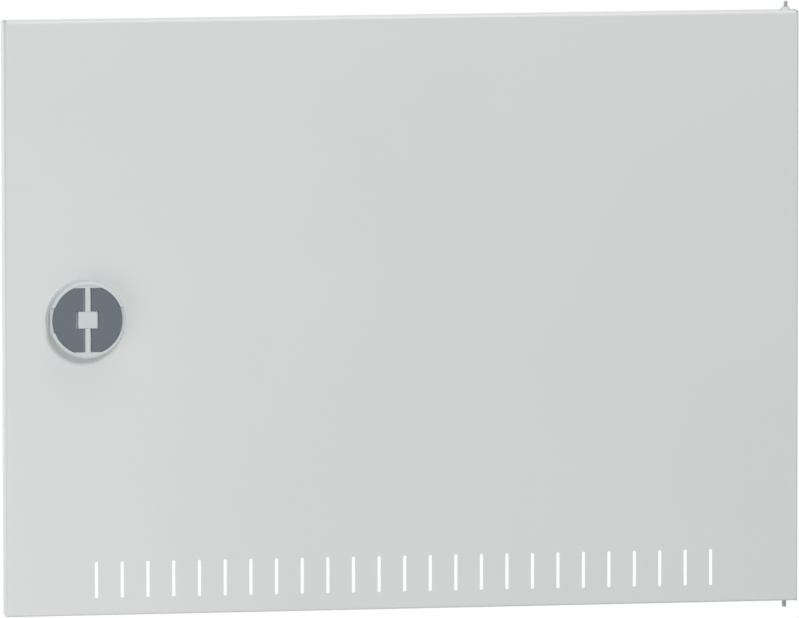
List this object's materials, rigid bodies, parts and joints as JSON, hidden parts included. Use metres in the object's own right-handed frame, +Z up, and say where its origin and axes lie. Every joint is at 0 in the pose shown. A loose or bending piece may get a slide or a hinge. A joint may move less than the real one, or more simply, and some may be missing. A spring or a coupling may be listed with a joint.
{
  "type": "perforated rack door",
  "caption": "Sheet steel cabinet door with a row of ventilation slots, a round quarter-turn latch and sprung hinge pins.",
  "frame": {"origin": "on the hinge axis, at the lower edge of the leaf where the lower hinge pin leaves it", "axes": "+Z up along the hinge axis, +X towards the hinge edge, -Y out of the front face"},
  "size_m": [0.773, 0.046, 0.5901],
  "materials": {
    "door_paint": "pale grey powder coat with a very fine texture, satin",
    "pale_plastic": "moulded pale grey plastic, finely eroded surface",
    "dark_plastic": "slate grey plastic with fine upright ribs",
    "pin_steel": "turned steel with a thin zinc coat",
    "zinc_steel": "bright zinc plated steel",
    "spring_steel": "drawn spring wire",
    "copper_plate": "copper flashed weld stud",
    "black_rubber": "matt black rubber"
  },
  "bodies": {
    "leaf": {"door_leaf": "door_paint", "centre_stiffener": "door_paint", "upper_pin_bracket": "zinc_steel", "upper_pin_bush": "pale_plastic", "pin_spring": "spring_steel", "lower_hinge_pin": "pin_steel", "lower_pin_bracket": "zinc_steel", "lower_pin_clip": "zinc_steel", "latch_rose": "pale_plastic", "rose_gasket": "black_rubber", "rose_nut": "zinc_steel", "earth_stud": "copper_plate", "earth_washer": "zinc_steel", "earth_nut": "zinc_steel", "upper_buffer": "black_rubber", "lower_buffer": "black_rubber"},
    "upper_pin": {"upper_hinge_pin": "pin_steel", "pin_clip": "zinc_steel"},
    "latch": {"latch_handle": "pale_plastic", "left_insert": "dark_plastic", "right_insert": "dark_plastic", "centre_cap": "pale_plastic", "handle_screw": "zinc_steel", "latch_spindle": "zinc_steel", "stop_disc": "zinc_steel", "latch_cam": "zinc_steel", "cam_washer": "zinc_steel", "cam_nut": "zinc_steel"}
  },
  "joints": [
    {"name": "latch_turn", "type": "hinge", "parent": "leaf", "child": "latch", "pos_m": [-0.684, -0.012, 0.2875], "axis": [0, -1, 0], "range_deg": [0, 90]},
    {"name": "upper_pin_slide", "type": "slide", "parent": "leaf", "child": "upper_pin", "axis": [0, 0, -1], "range_m": [0, 0.0095], "stiffness_N_per_m": 1500, "springref_m": -0.003, "deforming": ["pin_spring"]}
  ]
}
